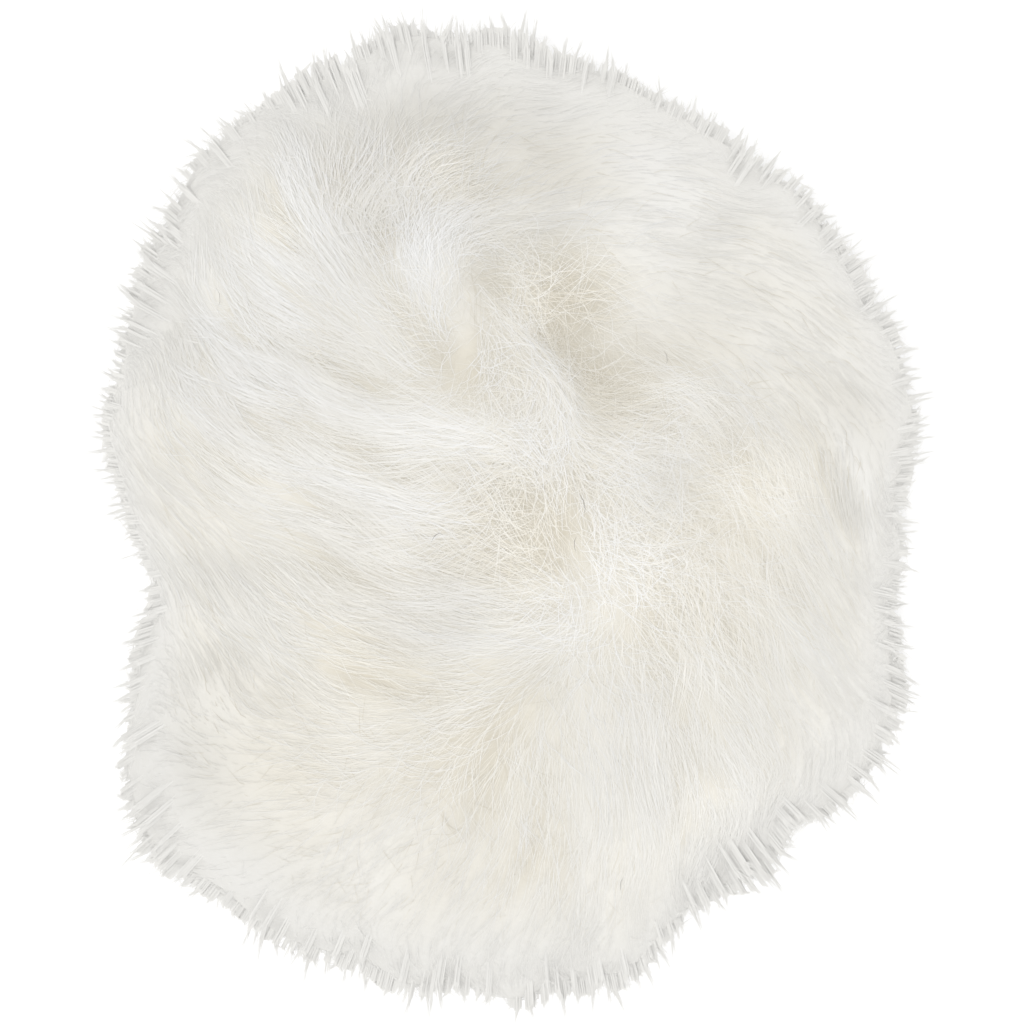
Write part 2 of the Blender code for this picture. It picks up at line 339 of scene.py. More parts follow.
def chart_grid():
    """Heading of the combed pile at each point of a plan grid, as unit vectors."""
    rows = []
    for stroke in COMB_CHART:
        for point, way in zip(*along_stroke(stroke.places, STROKE_STEPS)):
            rows.append((*point, *way, stroke.reach_mm, 1.0))
    for spot in COMB_SPOTS:
        angle = math.radians(spot.heading_deg)
        way = math.cos(angle), math.sin(angle)
        rows.append((spot.x_mm, spot.y_mm, *way, SPOT_REACH, SPOT_PULL))
    rows = np.array(rows)
    gap = np.linalg.norm(plan_axes(CHART_STEP)[:, :, None, :] - rows[:, :2], axis=-1)
    weight = rows[:, 5] * np.exp(-(gap / rows[:, 4]) ** 2) + FAR_PULL / (1.0 + gap ** 2)
    return unit(np.einsum("ijk,kc->ijc", weight, rows[:, 2:4]))


def marks_grid():
    """How far each plan place is drawn up into a lock or down into a parting."""
    grid = plan_axes(MARK_STEP)
    total = np.zeros(grid.shape[:2])
    for mark in LOCK_MARKS:
        points, _ = along_stroke(mark.places, STROKE_STEPS)
        gap = np.full(total.shape, 1e9)
        for near, far in zip(points[:-1], points[1:]):
            span = far - near
            t = np.clip(((grid - near) @ span) / (span @ span), 0.0, 1.0)
            gap = np.minimum(gap, np.linalg.norm(grid - near - t[..., None] * span, axis=-1))
        total += mark.strength * np.exp(-(gap / mark.half_width_mm) ** 2)
    return total[..., None]


def read_plan(grid, step, plan):
    """A plan grid's value at places in metres, read between its points."""
    spot = np.clip((plan / MM + CHART_REACH) / step, 0, grid.shape[0] - 1.001)
    return read_grid(grid, spot[..., 0], spot[..., 1])


CHART = chart_grid()
MARKS = marks_grid()


def comb(rays):
    """Which way the pile lies on each ray: unit vectors along the skin."""
    plan = rays[:, :2] * reach_at(rays)[:, None]
    heading = unit(read_plan(CHART, CHART_STEP, plan))
    top = np.concatenate([heading, np.zeros((len(heading), 1))], axis=1)
    bearing = np.arctan2(rays[:, 1], rays[:, 0])
    sway = sum(swing * np.sin(waves * bearing + SWAY_TWIST * rays[:, 2] + phase)
               for waves, swing, phase in SIDE_SWAYS)
    level = np.stack([-np.sin(bearing), np.cos(bearing), np.zeros(len(bearing))], axis=1)
    hanging = np.array([0.0, 0.0, -1.0]) + level * sway[:, None]
    rule = smooth_step(*CHART_LEVELS, rays[:, 2])[:, None]
    lie = top * rule + hanging * (1 - rule)
    lie -= rays * np.sum(lie * rays, axis=1, keepdims=True)
    return unit(lie)


# ---------------- strands

# over: how much higher and whiter a few of the hairs lie than the rest
Pile = namedtuple("Pile", "name strands length_mm thickness_mm root tip swing clump lean tone over")
PILES = (
    Pile("short_pile", 18000, (5, 9), 0.10, 0.915, (0.925, 0.950), 0.80, 0.1, 2.0, 0.16, 0.10),
    Pile("combed_pile_1", 26000, (9, 17), 0.085, 0.915, (0.938, 0.966), 0.09, 0.5, 3.0, 0.50, 0.14),
    Pile("combed_pile_2", 26000, (9, 17), 0.085, 0.915, (0.938, 0.966), 0.09, 0.5, 3.0, 0.50, 0.14),
    Pile("combed_pile_3", 26000, (9, 17), 0.085, 0.915, (0.938, 0.966), 0.12, 0.4, 3.0, 0.50, 0.14),
    Pile("combed_pile_4", 26000, (7, 14), 0.085, 0.915, (0.938, 0.970), 0.18, 0.3, 2.6, 0.52, 0.15),
)
CROSSING = Pile("crossing_hairs", 8000, (5, 11), 0.07, 0.94, (0.955, 0.980), 0.30, 0.0, 2.0, 0.72,
                0.05)
# Long hairs that stand off the sides and the underside
SIDE_HAIRS = Pile("side_hairs", 7000, (8, 14), 0.10, 0.93, (0.965, 0.99), 0.35, 0.4, 0.8, 0.7, 0.05)
SIDE_BELOW = -0.02  # the level under which they grow
LOCKS = 1500  # combed locks over the whole ball
WISPS = 9000  # finer groups of hairs within the locks
LOCK_PULL = 0.8  # how far hairs draw together towards their lock's end
LOCK_HALF_WIDTH = 2.4 * MM
LOCK_SWING = 0.25  # how far a lock strays from the chart, radians
WISP_SWING = 0.10  # the same for a wisp within its lock
LOCK_EDGE = -0.6  # value of hairs that strayed from their lock
GATHER_CURVE = 1.5  # how late along their length hairs draw together
TANGLE_LOOSE = 2.0  # how much less where they are tangled
TRACE_STEPS = 12  # steps that a strand's path is traced in
HALF = TRACE_STEPS // 2
ALONG = np.linspace(0.0, 1.0, TRACE_STEPS + 1)
STRAIGHT_SHARE = 0.6  # a strand that spans less of its length doubles back,
SHORTEST_SHARE = 0.48  # and one that spans less than this is left out
FLOOR_GAP = 0.3 * MM
TOP_SHARE = 0.6  # how much denser the pile is on top than round the girth
SPARE = 1.5  # strands drawn for each one kept
PARTING_LOSS = 1.9  # how strongly partings lose their strands
CALM_LOSS = 0.25  # the same for the calm parts of the upper side
LOSS_LEVELS = (0.0, 0.4)  # where that sets in, upwards
ROOT_SPACING, ROOT_SHAKE = 1.2, 0.4  # gap between roots, and the share of it they stray
PROBE_STEPS = 4  # steps that a root looks along the pile for locks and partings
CROSSING_SPARE, SIDE_SPARE = 8, 4  # roots drawn for each one kept
CROSSING_ALL, CROSSING_LIVELY = 0.05, 0.10  # weight everywhere, and where it isn't calm
LOCK_GRAIN, LOCK_SEED = 4.0 * MM, 1  # width of the soft ridges that the locks make
LOCK_RISE = 1.2 * MM
WISP_GRAIN, WISP_SEED = 1.5 * MM, 2
WISP_RISE = 0.3 * MM
STREAK_GAIN = 2.2  # strength of the streaks that the noise draws
STREAK_SHARE, MARK_SHARE, CREST_SHARE = 0.65, 1.3, 0.4  # what makes a lock's value

# Places where single hairs and gaps show; the pile lies calm and even everywhere else
LIVELY = table(Patch, (
    (-20, 36, 12, 0.80), (-27, 19, 12, 0.85), (-33, 8, 8, 0.55), (-9, 26, 9, 0.80),
    (-4, 18, 10, 0.90), (5, 26, 6.5, 0.80), (1, 7, 12, 1.0), (15, 10, 8, 0.90), (-2, -2, 13, 1.0),
    (20, 3, 11, 0.80), (28, -2, 8, 0.65), (20, -11, 12, 0.80), (-14, 4, 14, 0.75),
    (6, -8, 12, 0.90), (-18, -10, 12, 0.55), (-3, -24, 13, 0.50), (20, -28, 12, 0.50),
    (27, -41, 8, 0.50), (3, -44, 10, 0.30),
))
UNDER_LEVELS = (0.22, -0.05)  # where the pile comes loose, downwards
UNDER_LIVELY = 0.8  # how lively it is there
UNDER_FLARE, UNDER_LEAN = (0.005, 0.05), 1.2  # how far its hairs stand off
UNDER_LIGHT = 0.13  # how much paler it is, where little light comes
# How much of the hairs' swing, gathering, streaks and height goes where it is calm
CALM_WISP_SWING, CALM_SWING, CALM_GATHER = 0.7, 0.5, 0.6
CALM_STREAK, CALM_FINE, CALM_LIFT = 0.6, 0.7, 0.4
CALM_LIGHT, CALM_BED_LIGHT = 0.915, 0.875  # brightness of hairs and bed where it is calm, the bed painted darker as the hairs' shade
CALM_SMOOTH = 0.85  # how much of the hairs' differences goes where it is calm
CALM_ROOT, CALM_TIP, CALM_LEAN = 0.935, (0.945, 0.956), 6.0  # how calm hairs lie
RIM_LEVELS = (0.62, 0.32, -0.05, -0.30)  # where the pile turns over into the sides
RIM_SHADE, RIM_LIGHT = 0.66, 0.88  # how white it is there, and how bright, painted greyer and darker as shade
# How much whiter a hair is for its lock, its wisp and its height in the pile, partly as painted
# light, and how much paler as painted light
LOCK_WHITE, WISP_WHITE, OVER_WHITE = 0.20, 0.05, 2.0
LOCK_PAINTED_LIGHT, OVER_PAINTED_LIGHT, OVER_MEAN = 0.05, 0.4, 0.33
TANGLE_CREAM = 0.22  # how much creamier it is in the tangles

# Painted light and shade: broad patches made paler or duskier than the rest, and whiter or
# creamier, by tint and partly as painted shade
PAINTED_LIGHT_PATCHES = table(Patch, (
    (-4, 47, 16, -0.26), (8, 34, 9, -0.02), (24, 24, 12, -0.08), (40, 14, 11, -0.04),
    (8, 25, 5, 0.02, -0.25), (12, 15, 5, 0.03, -0.25), (1, -1, 6, 0.06, -0.22),
    (26, 2, 8, 0.0, -0.22), (22, -10, 10, 0.07, -0.12), (-28, -28, 12, 0.0, -0.12),
    (-12, -20, 9, -0.02, -0.08), (-4, -32, 9, -0.03, -0.08), (-29, 25, 11, 0.05, 0.10),
    (-16, 15, 9, -0.08, -0.08), (-26, 5, 12, 0.02), (-16, -9, 10, -0.04, -0.10),
    (-10.5, 29, 4, 0.12, 0.30), (-2.5, 28, 3, -0.16, -0.20), (4, 19, 3, -0.12, -0.10),
    (27, -42, 8, 0.22), (-12, 50, 7, -0.24), (6, 52, 6, -0.10), (-3, 41, 6, 0.14),
    (-27, 34, 6, 0.18), (11, 29, 5, 0.16), (4, 27, 4, 0.12), (18, 3.5, 4, -0.18), (28, 3, 5, 0.16),
    (14, -8, 6, 0.16, 0.16), (-34, 4, 5, 0.16), (-19, -19, 5, 0.26), (-5, -30, 8, 0.20),
    (-20, -28, 7, 0.14), (-6, -12, 5, -0.16), (4, -19, 4, -0.12), (-42, -31, 8, -0.30),
    (-30, -40, 8, -0.16), (13, -42, 8, 0.14), (41, 12, 4, -0.14), (-10, 41, 5, 0.30),
    (3, 26, 5, 0.16), (33, 4, 4, 0.20), (3, -4, 6, 0.20), (-26, -34, 7, 0.22), (27, -36, 9, 0.18),
    (3, -42, 7, 0.12), (18, 42, 10, 0.0, 0.16),
))
LIGHT_RANGE = (0.6, 1.2)  # painted light: brightness that the hair map's V puts into the colour, 0 to 1

# Where the pile stands up and crosses instead of lying combed
TANGLES = table(Patch, (
    (2, 24, 9, 1.0), (-6, 21, 4.5, 1.0), (4, 13, 5, 0.9), (4, 2, 8, 1.3), (12, -5, 8, 1.0),
    (20, 6, 8, 0.9), (24, -4, 8, 0.8), (-9, 38, 7, 0.8), (-16, 40, 6, 0.5), (9, -16, 7, 0.5),
    (-5, -30, 8, 0.5), (-20, -30, 8, 0.35),
))


def near_each(patches, rays):
    """Each patch, and how near each ray is to its middle, 0 to 1."""
    plan = rays[..., :2] * (reach_at(rays) / MM)[..., None]
    for patch in patches:
        gap = np.hypot(plan[..., 0] - patch.x_mm, plan[..., 1] - patch.y_mm)
        yield patch, np.exp(-(gap / patch.reach_mm) ** 2) * (rays[..., 2] > 0)


def tangle_at(rays):
    """How far hairs swing away from the combing on each ray, in radians."""
    total = np.zeros(len(rays))
    for patch, near in near_each(TANGLES, rays):
        total = np.maximum(total, patch.amount * near)
    return total


def under_at(rays):
    """0 on the upper side, 1 on the sides and the underside, where the pile hangs loose."""
    return smooth_step(*UNDER_LEVELS, rays[..., 2])


def calm_at(rays):
    """How calm and even the pile lies on each ray, 0 to 1."""
    lively = np.zeros(rays.shape[:-1])
    for patch, near in near_each(LIVELY, rays):
        lively = np.maximum(lively, patch.amount * near)
    return 1.0 - np.maximum(lively, UNDER_LIVELY * under_at(rays))


def painted_light_at(rays):
    """Painted light on each ray, as paler or duskier colour, and how much whiter, by tint and
    painted shade.
    """
    light = np.zeros(rays.shape[:-1])
    shade = np.zeros(rays.shape[:-1])
    for patch, near in near_each(PAINTED_LIGHT_PATCHES, rays):
        light += patch.amount * near
        shade += patch.shade * near
    return light, shade


def rim_at(rays):
    """1 where the pile turns over into the sides and is painted greyer and darker as shade, 0 on
    top and below.
    """
    return band(RIM_LEVELS, rays[..., 2])


def even_rays(count, random):
    """Rays spread by the golden angle, closer together on top, then shaken a little."""
    level = (np.arange(count) + 0.5) / count * 2.0 - 1.0
    z = (np.sqrt(1.0 + 2.0 * TOP_SHARE * level + TOP_SHARE * TOP_SHARE) - 1.0) / TOP_SHARE
    bearing = np.arange(count) * math.pi * (3.0 - math.sqrt(5.0))
    flat = np.sqrt(np.maximum(0.0, 1.0 - z * z))
    points = np.stack([flat * np.cos(bearing), flat * np.sin(bearing), z], axis=1)
    spacing = ROOT_SPACING * math.sqrt(4 * math.pi / count)
    return unit(points + random.normal(0.0, ROOT_SHAKE * spacing, points.shape))


def turned(lie, rays, angle):
    """Vectors along the skin, turned about their rays."""
    side = np.cross(rays, lie)
    return lie * np.cos(angle)[:, None] + side * np.sin(angle)[:, None]


def trace(roots, length, swing, steps=TRACE_STEPS):
    """Rays that each strand passes through as it follows the combing, root to tip."""
    path = [roots]
    here = roots
    for _ in range(steps):
        lie = turned(comb(here), here, swing)
        step = length / steps / reach_at(here)
        here = unit(here + lie * step[:, None])
        path.append(here)
    return np.stack(path, axis=1)


def span_of(path):
    """Distance from the first to the last point of each path."""
    return np.linalg.norm(path[:, -1] - path[:, 0], axis=1)


def drawn_out(path, grain, seed):
    """Noise averaged along each path, so that its lumps become streaks along the pile."""
    reach = reach_at(path)[..., None]
    streak = soft_noise(path * reach, grain, seed).mean(axis=1)
    return np.clip(streak * STREAK_GAIN, -1.0, 1.0)


def lock_value(path):
    """-1 in a deep parting to 1 along the top of a lock, for strands on these paths."""
    calm = calm_at(path[:, path.shape[1] // 2])
    plan = path[..., :2] * reach_at(path)[..., None]
    marked = read_plan(MARKS, MARK_STEP, plan)[..., 0] * (path[..., 2] > 0)
    streak = drawn_out(path, LOCK_GRAIN, LOCK_SEED) * (1.0 - CALM_STREAK * calm)
    return np.clip(STREAK_SHARE * streak + MARK_SHARE * marked.mean(axis=1), -1.0, 1.0)


def nearest_of(points, centres):
    """Index of the nearest centre for each point, in blocks that stay small."""
    found = []
    for block in np.array_split(points.astype(np.float32), max(1, len(points) // 1000)):
        found.append(np.argmax(block @ centres.T.astype(np.float32), axis=1))
    return np.concatenate(found)


def drawn_roots(pile, random):
    """Roots of a pile's strands: many are drawn, and the partings lose most of theirs."""
    roots = even_rays(int(pile.strands * SPARE), random)
    near = np.full(len(roots), 0.5 * np.mean(pile.length_mm) * MM)
    value = lock_value(trace(roots, near, np.zeros(len(roots)), PROBE_STEPS))
    loss = CALM_LOSS * calm_at(roots) * smooth_step(*LOSS_LEVELS, roots[:, 2])
    chance = random.uniform(0.0, 1.0, len(roots)) + loss - PARTING_LOSS * pile.clump * value
    order = np.argsort(chance)
    return roots[np.sort(order[:pile.strands])]


def tangled_roots(pile, random):
    """Roots of the hairs that cross over the pile, most of them where it is tangled."""
    roots = even_rays(pile.strands * CROSSING_SPARE, random)
    weight = tangle_at(roots) + CROSSING_ALL + CROSSING_LIVELY * (1.0 - calm_at(roots))
    order = np.argsort(random.uniform(0.0, 1.0, len(roots)) ** (1.0 / np.maximum(weight, 1e-3)))
    return roots[np.sort(order[-pile.strands:])]


def side_roots(pile, random):
    """Roots of a pile that grows only on the sides and the underside."""
    roots = even_rays(pile.strands * SIDE_SPARE, random)
    roots = roots[roots[:, 2] < SIDE_BELOW]
    return roots[np.sort(random.permutation(len(roots))[:pile.strands])]


def lay_out_locks():
    """Locks and wisps: where they grow, how far they stray from the chart, and a wisp's lock."""
    locks = even_rays(LOCKS, np.random.default_rng(SEED))
    wisps = even_rays(WISPS, np.random.default_rng(SEED + 2))
    random = np.random.default_rng(SEED + 1)
    lock_swing = random.normal(0.0, LOCK_SWING, LOCKS)
    wisp_lock = nearest_of(wisps, locks)
    wisp_swing = lock_swing[wisp_lock] + random.normal(0.0, WISP_SWING, WISPS)
    wisp_swing *= 1.0 - CALM_WISP_SWING * calm_at(wisps)
    return locks, lock_swing, wisps, wisp_swing, wisp_lock


def drawn_to(path, guide, pull):
    """Paths drawn towards their guides, more and more along their length."""
    pull = pull[:, None, None] * (ALONG ** GATHER_CURVE)[None, :, None]
    return unit(path * (1 - pull) + guide * pull)


def strand_courses(pile, roots, length, random):
    """Rays along every strand, gathered into locks, and how near its lock's middle it is."""
    locks, lock_swing, wisps, wisp_swing, wisp_lock = lay_out_locks()
    mine = nearest_of(roots, wisps)
    calm, tangle = calm_at(roots), tangle_at(roots)
    spread = pile.swing * (1.0 - CALM_SWING * calm) + tangle
    swing = wisp_swing[mine] + random.normal(0.0, 1.0, len(roots)) * spread
    path = trace(roots, length, swing)
    bent = span_of(path) * reach_at(roots) < STRAIGHT_SHARE * length
    path[bent] = trace(roots[bent], length[bent], swing[bent] + math.pi / 2)
    mean = np.mean(pile.length_mm) * MM
    guide = trace(wisps, np.full(WISPS, mean), wisp_swing)[mine]
    lock_guide = trace(locks, np.full(LOCKS, mean), lock_swing)[wisp_lock[mine]]
    lost = span_of(guide) * reach_at(wisps)[mine] < STRAIGHT_SHARE * mean
    hold = pile.clump * np.exp(-TANGLE_LOOSE * tangle) * (1.0 - CALM_GATHER * calm)
    hold *= ~(bent | lost)
    path = drawn_to(drawn_to(path, guide, hold), lock_guide, LOCK_PULL * hold)
    astray = np.linalg.norm(path[:, HALF] - lock_guide[:, HALF], axis=1) * reach_at(path[:, HALF])
    crest = np.clip(1.0 - astray / LOCK_HALF_WIDTH, LOCK_EDGE, 1.0) * (1.0 - calm) * pile.clump
    return path, crest


def rising(root, tip, lean):
    """Shares of the ball's reach along strands that rise to their tips, early for a high lean."""
    return root + (tip - root)[:, None] * (1.0 - (1.0 - ALONG) ** lean)[None, :]


def strand_depths(pile, roots, over):
    """Shares of the ball's reach along every strand: combed, loose below, flat where it is calm."""
    tip = between(pile.tip, over)
    under = under_at(roots)[:, None]
    flat = (calm_at(roots) * (pile in PILES))[:, None]
    loose = rising(pile.root, tip + between(UNDER_FLARE, over), UNDER_LEAN)
    share = rising(pile.root, tip, pile.lean) * (1.0 - under) + loose * under
    return share * (1.0 - flat) + rising(CALM_ROOT, between(CALM_TIP, over), CALM_LEAN) * flat


def strand_tones(pile, roots, middle, value, fine, over):
    """Shade, painted light and evenness of every strand, by its roots, its middle and its lock."""
    calm, rim = calm_at(roots), rim_at(middle)
    smooth = np.maximum(calm, rim)
    plain = 1.0 - CALM_SMOOTH * smooth
    raised = pile.over * (over - OVER_MEAN)
    painted_light, tint_and_painted_shade = painted_light_at(middle)
    cream = TANGLE_CREAM * np.minimum(tangle_at(roots), 1.0) * (pile is not CROSSING)
    shade = pile.tone + tint_and_painted_shade - cream
    shade += (LOCK_WHITE * value + WISP_WHITE * fine + OVER_WHITE * raised) * plain
    shade = np.minimum(shade, WHITEST) * (1.0 - rim) + RIM_SHADE * rim
    # Painted light: darker where calm and at the rim as painted shade, paler on locks, high hairs,
    # the underside and the painted light patches
    light = 1.0 + (CALM_LIGHT - 1.0) * calm + painted_light
    light += (LOCK_PAINTED_LIGHT * value + OVER_PAINTED_LIGHT * raised) * plain
    light = light * (1.0 - rim) + RIM_LIGHT * rim + UNDER_LIGHT * under_at(roots)
    return np.clip(shade, 0.0, 1.0), light, smooth


def strand_paths(pile, roots, random):
    """Points along every strand of a pile, root to tip, and its shade, painted light and evenness.
    """
    length = random.uniform(*pile.length_mm, len(roots)) * MM
    path, crest = strand_courses(pile, roots, length, random)
    over = random.uniform(0.0, 1.0, len(roots)) ** 2  # most hairs lie low
    calm = calm_at(roots)
    value = np.clip(lock_value(path) + CREST_SHARE * crest, -1.0, 1.0)
    fine = drawn_out(path, WISP_GRAIN, WISP_SEED) * (1.0 - CALM_FINE * calm)
    lift = LOCK_RISE * value * (1.0 - CALM_LIFT * calm) + WISP_RISE * fine * (1.0 - calm)
    depth = strand_depths(pile, roots, over)
    points = HEART + path * (reach_at(path) * depth + lift[:, None])[..., None]
    points[..., 2] = np.maximum(points[..., 2], BALL_LOW[2] + FLOOR_GAP)
    shade, light, smooth = strand_tones(pile, roots, path[:, HALF], value, fine, over)
    whole = span_of(points) > SHORTEST_SHARE * length
    return points[whole][:, [0, HALF, TRACE_STEPS]], shade[whole], light[whole], smooth[whole]


# ---------------- hairs as meshes

HAIR_TAPER = 0.75  # a hair's thickness at its last ring, of the first
OUTER_FACE = (0.9, 1.0)  # how far a hair's outer face takes the pile's light,
SIDE_FACES = (0.55, 0.95)  # and its two other faces, combed and calm
RIM_TILT = 0.8  # how far light soaks round the girth
TILT_LEVELS = (0.75, 0.15, -0.15, -0.6)
ROOT_CREAM, ROOT_SHARE = 0.2, 0.4  # how much creamier a root is, and up to where
CALM_ROOTS = 0.85  # how much of that goes where it is calm
MAP_ENDS, MAP_SPREAD = (0.01, 0.98), 0.008  # the used part of the hair map, and a hair's part


def lit_normal(outward):
    """Normals along outward rays, tilted up round the girth, where light soaks through."""
    tilt = RIM_TILT * band(TILT_LEVELS, outward[:, 2])
    return unit(outward + tilt[:, None] * np.array([0.0, 0.0, 1.0]))


def hair_form(rings):
    """Triangles of one closed hair, their UVs and the side each is on."""
    root, tip = 0, rings * 3 + 1
    faces, uvs, sides = [], [], []
    level = [ring / (rings + 1) for ring in range(rings + 2)]
    for side in range(3):
        a, b = 1 + side, 1 + (side + 1) % 3
        u0, u1 = side / 3, (side + 1) / 3
        faces.append((root, b, a))
        uvs.append((((u0 + u1) / 2, level[0]), (u1, level[1]), (u0, level[1])))
        for ring in range(rings - 1):
            a0, b0 = a + 3 * ring, b + 3 * ring
            v0, v1 = level[ring + 1], level[ring + 2]
            faces.append((a0, b0, b0 + 3))
            uvs.append(((u0, v0), (u1, v0), (u1, v1)))
            faces.append((a0, b0 + 3, a0 + 3))
            uvs.append(((u0, v0), (u1, v1), (u0, v1)))
        last = 3 * (rings - 1)
        faces.append((a + last, b + last, tip))
        uvs.append(((u0, level[-2]), (u1, level[-2]), ((u0 + u1) / 2, level[-1])))
        sides.extend([side] * (2 * rings))
    return np.array(faces), np.array(uvs), np.array(sides)


def on_map(light):
    """Where a brightness is read on a map that runs from 0 to 1."""
    low, high = LIGHT_RANGE
    return (light - low) / (high - low)


def hair_map(form, shade, light, smooth):
    """The hair map of many hairs: U is the shade, creamier at the root, and V the painted light."""
    cream = ROOT_CREAM * np.maximum(0.0, 1.0 - form[..., 1] / ROOT_SHARE)
    cream = cream * (1.0 - CALM_ROOTS * smooth)[:, None, None]
    uv = np.empty((len(shade),) + form.shape)
    uv[..., 0] = np.clip(shade[:, None, None] - cream, *MAP_ENDS) + MAP_SPREAD * form[..., 0]
    uv[..., 1] = np.clip(on_map(light[:, None, None]), *MAP_ENDS) + MAP_SPREAD * form[..., 1]
    return uv.reshape(-1, 2)


def around(across, over, turn):
    """Vectors this many thirds of a turn round each hair, anticlockwise as seen from its tip."""
    angle = 2 * math.pi * turn / 3 - math.pi / 2
    return across * math.cos(angle) + over * math.sin(angle)


def hair_normals(middle, across, over, smooth, face_side):
    """Normals of many hairs' corners: light meets a hair as it meets the pile that it lies in."""
    across, over = unit(across.mean(axis=1)), unit(over.mean(axis=1))
    outward = lit_normal(unit(middle.mean(axis=1) - HEART))
    normals = []
    for side in range(3):
        share = between(OUTER_FACE if side == 1 else SIDE_FACES, smooth)[:, None]
        facing = around(across, over, side + 0.5)
        normals.append(unit(facing * (1.0 - share) + outward * share))
    normals = np.stack(normals, axis=1)[:, face_side]
    return np.repeat(normals[:, :, None, :], 3, axis=2).reshape(-1, 3)


def strand_mesh(name, points, shade, light, smooth, thickness):
    """A joined mesh of closed three-sided hairs, pointed at both ends, flat side outwards."""
    count, rings = len(points), points.shape[1] - 2
    middle = points[:, 1:-1]
    along = unit(points[:, 2:] - points[:, :-2])
    across = unit(np.cross(along, unit(middle - HEART)))
    over = np.cross(along, across)
    radius = 0.5 * thickness * np.linspace(1.0, HAIR_TAPER, rings)[None, :, None]
    corners = [middle + around(across, over, side) * radius for side in range(3)]
    ring_points = np.stack(corners, axis=2).reshape(count, rings * 3, 3)
    vertices = np.concatenate([points[:, :1], ring_points, points[:, -1:]], axis=1)
    faces, form, face_side = hair_form(rings)
    loops = (faces[None] + (rings * 3 + 2) * np.arange(count)[:, None, None]).reshape(-1)
    uv = hair_map(form, shade, light, smooth)
    obj = mesh_of_triangles(name, vertices.reshape(-1, 3), loops, uv)
    normals = hair_normals(middle, across, over, smooth, face_side)
    obj.data.normals_split_custom_set(normals.astype(np.float32))
    return obj


def placed(name, data):
    """A new object with this data, at the origin of the scene."""
    obj = bpy.data.objects.new(name, data)
    bpy.context.collection.objects.link(obj)
    return obj


def mesh_of_triangles(name, vertices, loops, uv):
    """A mesh object from arrays of points, triangle corners and their UVs."""
    mesh = bpy.data.meshes.new(name)
    faces = len(loops) // 3
    mesh.vertices.add(len(vertices))
    mesh.vertices.foreach_set("co", vertices.astype(np.float32).ravel())
    mesh.loops.add(len(loops))
    mesh.loops.foreach_set("vertex_index", loops.astype(np.int32))
    mesh.polygons.add(faces)
    mesh.polygons.foreach_set("loop_start", np.arange(0, faces * 3, 3, dtype=np.int32))
    mesh.update(calc_edges=True)
    layer = mesh.uv_layers.new(name="OFBake")
    layer.data.foreach_set("uv", uv.astype(np.float32).ravel())
    mesh.shade_smooth()
    return placed(name, mesh)


# ---------------- materials

def new_material(name, roughness):
    """A new material, its node tree and its shader."""
    material = bpy.data.materials.new(name)
    material.use_nodes = True
    shader = material.node_tree.nodes["Principled BSDF"]
    shader.inputs["Roughness"].default_value = roughness
    return material, material.node_tree, shader


def new_node(tree, kind, inputs, **settings):
    """A new node with these settings, its inputs linked to sockets or set to values."""
    node = tree.nodes.new("ShaderNode" + kind)
    for name, value in settings.items():
        setattr(node, name, value)
    for name, value in inputs.items():
        if isinstance(value, bpy.types.NodeSocket):
            tree.links.new(value, node.inputs[name])
        else:
            node.inputs[name].default_value = value
    return node


def ramp_color(tree, value, stops):
    """The colour at a value on a ramp with these (position, colour) stops."""
    ramp = new_node(tree, "ValToRGB", {"Fac": value})
    elements = ramp.color_ramp.elements
    while len(elements) < len(stops):
        elements.new(0.5)
    for element, (position, color) in zip(elements, stops):
        element.position = position
        element.color = (*color, 1.0)
    return ramp.outputs["Color"]


def read_hair_map(tree):
    """The hair map's U and V."""
    uv = new_node(tree, "UVMap", {}, uv_map="OFBake")
    split = new_node(tree, "SeparateXYZ", {"Vector": uv.outputs["UV"]})
    return split.outputs["X"], split.outputs["Y"]


def read_attribute(tree, name):
    """The value that the mesh keeps under this name."""
    return new_node(tree, "Attribute", {}, attribute_name=name).outputs["Fac"]


# Shades of the fibre from the depth of a parting, over warm white, to the whitest locks; the deep
# end is partly painted shade
FIBRE_SHADES = (
    (0.0, (0.52, 0.455, 0.325)),
    (0.25, (0.69, 0.63, 0.49)),
    (0.5, (0.81, 0.775, 0.675)),
    (0.8, (0.84, 0.835, 0.805)),
    (1.0, (0.84, 0.84, 0.83)),
)
WHITEST = 0.85
FLECK_SCALE, FLECK_RISE = 900.0, 0.1 * MM
FLECK_SHADES = ((0.3, (0.975, 0.97, 0.955)), (0.7, (1.0, 1.0, 1.0)))
STRAY_SHADES = ((0.0, (0.06, 0.05, 0.045)), (1.0, (0.22, 0.19, 0.16)))


def fibre_color(tree, shade, light):
    """The fibre's colour for a shade, made paler or duskier by painted light, both from 0 to 1."""
    low, high = LIGHT_RANGE
    bright = new_node(tree, "MapRange", {"Value": light, "To Min": low, "To Max": high})
    inputs = {0: ramp_color(tree, shade, FIBRE_SHADES), "Scale": bright.outputs["Result"]}
    return new_node(tree, "VectorMath", inputs, operation="SCALE").outputs["Vector"]


def hair_material():
    """White hair, each hair a little creamier or paler than the next, the paleness painted light.
    """
    material, tree, shader = new_material("white_hair", roughness=0.6)
    color = fibre_color(tree, *read_hair_map(tree))
    tree.links.new(color, shader.inputs["Base Color"])
    shader.inputs["Specular IOR Level"].default_value = 0.3
    return material


def stray_material():
    """Dark grey-brown hair, some hairs paler than others."""
    material, tree, shader = new_material("stray_hair", roughness=0.5)
    shade, _ = read_hair_map(tree)
    tree.links.new(ramp_color(tree, shade, STRAY_SHADES), shader.inputs["Base Color"])
    return material


